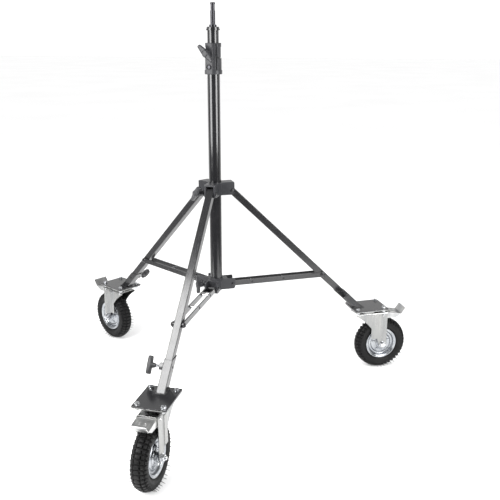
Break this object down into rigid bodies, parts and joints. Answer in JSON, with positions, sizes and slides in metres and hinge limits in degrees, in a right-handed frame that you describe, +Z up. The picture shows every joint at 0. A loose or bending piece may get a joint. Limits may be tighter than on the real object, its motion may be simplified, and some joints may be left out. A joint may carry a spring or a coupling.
{
  "type": "wheeled lighting stand",
  "caption": "Black steel lighting stand: telescopic column with a spigot on top, on folding braced legs with pneumatic swivel castors that have brake pedals.",
  "frame": {"origin": "point on the floor on the column's axis", "axes": "+Z up along the column towards the stud; -Y along the front leg; the other legs point along +30 and +150 degrees from +X"},
  "size_m": [1.3189, 1.149, 1.357],
  "materials": {
    "column_paint": "semi-gloss black powder coat",
    "black_plastic": "matte moulded",
    "cast_grey": "fine-textured dark grey coat on die casting",
    "zinc": "bright zinc plate",
    "black_zinc": "black-finished steel fasteners",
    "leg_paint": "semi-gloss black powder coat",
    "knob_plastic": "moulded plastic",
    "zinc_sheet": "zinc-plated pressed steel",
    "rim_zinc": "zinc-plated pressed steel",
    "tyre_rubber": "black rubber"
  },
  "bodies": {
    "column": {"outer_tube": "column_paint", "tube_foot_plug": "black_plastic", "clamp_body": "cast_grey", "clamp_bolt": "zinc", "lower_collar": "cast_grey", "brace_pivot_bolts": "black_zinc"},
    "riser": {"riser_tube": "column_paint", "riser_bush": "black_plastic", "riser_cap": "column_paint", "stud": "column_paint"},
    "clamp_lever": {"clamp_handle": "cast_grey"},
    "sliding_collar": {"upper_collar": "cast_grey", "leg_pivot_bolts": "black_zinc"},
    "upper_lever": {"upper_handle": "cast_grey"},
    "lower_lever": {"lower_handle": "cast_grey"},
    "leg_front": {"leg_tube_front": "leg_paint"},
    "brace_front": {"brace_bars_front": "leg_paint", "brace_fasteners_front": "black_zinc"},
    "bracket_front": {"caster_bracket_front": "leg_paint", "plate_bolts_front": "zinc", "caster_plate_front": "zinc_sheet"},
    "knob_front": {"sleeve_knob_front": "knob_plastic"},
    "swivel_front": {"fork_front": "zinc_sheet", "swivel_race_front": "zinc_sheet", "axle_bolt_front": "zinc"},
    "pedal_front": {"brake_pedal_front": "zinc_sheet"},
    "wheel_front": {"tyre_front": "tyre_rubber", "wheel_rim_front": "rim_zinc", "wheel_hub_front": "rim_zinc"},
    "leg_right": {"leg_tube_right": "leg_paint"},
    "brace_right": {"brace_bars_right": "leg_paint", "brace_fasteners_right": "black_zinc"},
    "bracket_right": {"caster_bracket_right": "leg_paint", "plate_bolts_right": "zinc", "caster_plate_right": "zinc_sheet"},
    "knob_right": {"sleeve_knob_right": "knob_plastic"},
    "swivel_right": {"fork_right": "zinc_sheet", "swivel_race_right": "zinc_sheet", "axle_bolt_right": "zinc"},
    "pedal_right": {"brake_pedal_right": "zinc_sheet"},
    "wheel_right": {"tyre_right": "tyre_rubber", "wheel_rim_right": "rim_zinc", "wheel_hub_right": "rim_zinc"},
    "leg_left": {"leg_tube_left": "leg_paint"},
    "brace_left": {"brace_bars_left": "leg_paint", "brace_fasteners_left": "black_zinc"},
    "bracket_left": {"caster_bracket_left": "leg_paint", "plate_bolts_left": "zinc", "caster_plate_left": "zinc_sheet"},
    "knob_left": {"sleeve_knob_left": "knob_plastic"},
    "swivel_left": {"fork_left": "zinc_sheet", "swivel_race_left": "zinc_sheet", "axle_bolt_left": "zinc"},
    "pedal_left": {"brake_pedal_left": "zinc_sheet"},
    "wheel_left": {"tyre_left": "tyre_rubber", "wheel_rim_left": "rim_zinc", "wheel_hub_left": "rim_zinc"}
  },
  "joints": [
    {"name": "riser_slide", "type": "slide", "parent": "column", "child": "riser", "axis": [0, 0, 1], "range_m": [0, 0.62]},
    {"name": "clamp_lever_turn", "type": "hinge", "parent": "column", "child": "clamp_lever", "pos_m": [0, 0, 1.199], "axis": [-0.2079, -0.9781, 0], "range_deg": [-45, 270]},
    {"name": "collar_slide", "type": "slide", "parent": "column", "child": "sliding_collar", "axis": [0, 0, 1], "range_m": [0, 0.345]},
    {"name": "upper_lever_turn", "type": "hinge", "parent": "sliding_collar", "child": "upper_lever", "pos_m": [0, 0, 0.739], "axis": [-0.7193, -0.6947, 0], "range_deg": [-30, 330]},
    {"name": "lower_lever_turn", "type": "hinge", "parent": "column", "child": "lower_lever", "pos_m": [0, 0, 0.404], "axis": [-0.866, -0.5, 0], "range_deg": [0, 360]},
    {"name": "leg_fold_front", "type": "hinge", "parent": "sliding_collar", "child": "leg_front", "pos_m": [0, -0.056, 0.742], "axis": [1, 0, 0], "range_deg": [0, 17.48]},
    {"name": "brace_fold_front", "type": "hinge", "parent": "column", "child": "brace_front", "pos_m": [0, -0.056, 0.403], "axis": [-1, 0, 0], "range_deg": [0, 48.52]},
    {"name": "bracket_slide_front", "type": "slide", "parent": "leg_front", "child": "bracket_front", "axis": [0, -0.7139, -0.7003], "range_m": [0, 0.06]},
    {"name": "knob_turn_front", "type": "hinge", "parent": "bracket_front", "child": "knob_front", "pos_m": [0, -0.49788, 0.30852], "axis": [1, 0, 0], "range_deg": [0, 360]},
    {"name": "caster_swivel_front", "type": "hinge", "parent": "bracket_front", "child": "swivel_front", "pos_m": [0, -0.592, 0.236], "axis": [0, 0, 1], "continuous": true},
    {"name": "wheel_spin_front", "type": "hinge", "parent": "swivel_front", "child": "wheel_front", "pos_m": [-0.00209, -0.65196, 0.102], "axis": [0.9994, -0.0349, 0], "continuous": true},
    {"name": "brake_press_front", "type": "hinge", "parent": "swivel_front", "child": "pedal_front", "pos_m": [-0.00202, -0.64997, 0.222], "axis": [0.9994, -0.0349, 0], "range_deg": [0, 7]},
    {"name": "leg_fold_right", "type": "hinge", "parent": "sliding_collar", "child": "leg_right", "pos_m": [0.0485, 0.028, 0.742], "axis": [-0.5, 0.866, 0], "range_deg": [0, 17.48]},
    {"name": "brace_fold_right", "type": "hinge", "parent": "column", "child": "brace_right", "pos_m": [0.0485, 0.028, 0.403], "axis": [0.5, -0.866, 0], "range_deg": [0, 48.52]},
    {"name": "bracket_slide_right", "type": "slide", "parent": "leg_right", "child": "bracket_right", "axis": [0.6182, 0.3569, -0.7003], "range_m": [0, 0.06]},
    {"name": "knob_turn_right", "type": "hinge", "parent": "bracket_right", "child": "knob_right", "pos_m": [0.43118, 0.24894, 0.30852], "axis": [-0.5, 0.866, 0], "range_deg": [0, 360]},
    {"name": "caster_swivel_right", "type": "hinge", "parent": "bracket_right", "child": "swivel_right", "pos_m": [0.51269, 0.296, 0.236], "axis": [0, 0, 1], "continuous": true},
    {"name": "wheel_spin_right", "type": "hinge", "parent": "swivel_right", "child": "wheel_right", "pos_m": [0.56615, 0.32324, 0.102], "axis": [-0.454, 0.891, 0], "continuous": true},
    {"name": "brake_press_right", "type": "hinge", "parent": "swivel_right", "child": "pedal_right", "pos_m": [0.56437, 0.32233, 0.222], "axis": [-0.454, 0.891, 0], "range_deg": [0, 7]},
    {"name": "leg_fold_left", "type": "hinge", "parent": "sliding_collar", "child": "leg_left", "pos_m": [-0.0485, 0.028, 0.742], "axis": [-0.5, -0.866, 0], "range_deg": [0, 17.48]},
    {"name": "brace_fold_left", "type": "hinge", "parent": "column", "child": "brace_left", "pos_m": [-0.0485, 0.028, 0.403], "axis": [0.5, 0.866, 0], "range_deg": [0, 48.52]},
    {"name": "bracket_slide_left", "type": "slide", "parent": "leg_left", "child": "bracket_left", "axis": [-0.6182, 0.3569, -0.7003], "range_m": [0, 0.06]},
    {"name": "knob_turn_left", "type": "hinge", "parent": "bracket_left", "child": "knob_left", "pos_m": [-0.43118, 0.24894, 0.30852], "axis": [-0.5, -0.866, 0], "range_deg": [0, 360]},
    {"name": "caster_swivel_left", "type": "hinge", "parent": "bracket_left", "child": "swivel_left", "pos_m": [-0.51269, 0.296, 0.236], "axis": [0, 0, 1], "continuous": true},
    {"name": "wheel_spin_left", "type": "hinge", "parent": "swivel_left", "child": "wheel_left", "pos_m": [-0.56516, 0.32509, 0.102], "axis": [-0.4848, -0.8746, 0], "continuous": true},
    {"name": "brake_press_left", "type": "hinge", "parent": "swivel_left", "child": "pedal_left", "pos_m": [-0.56341, 0.32412, 0.222], "axis": [-0.4848, -0.8746, 0], "range_deg": [0, 7]}
  ],
  "couplings": [
    {"joint": "leg_fold_front", "follows": "collar_slide", "rad_per_m": 0.88402},
    {"joint": "brace_fold_front", "follows": "collar_slide", "rad_per_m": 2.4542},
    {"joint": "leg_fold_right", "follows": "collar_slide", "rad_per_m": 0.88402},
    {"joint": "brace_fold_right", "follows": "collar_slide", "rad_per_m": 2.4542},
    {"joint": "leg_fold_left", "follows": "collar_slide", "rad_per_m": 0.88402},
    {"joint": "brace_fold_left", "follows": "collar_slide", "rad_per_m": 2.4542}
  ]
}
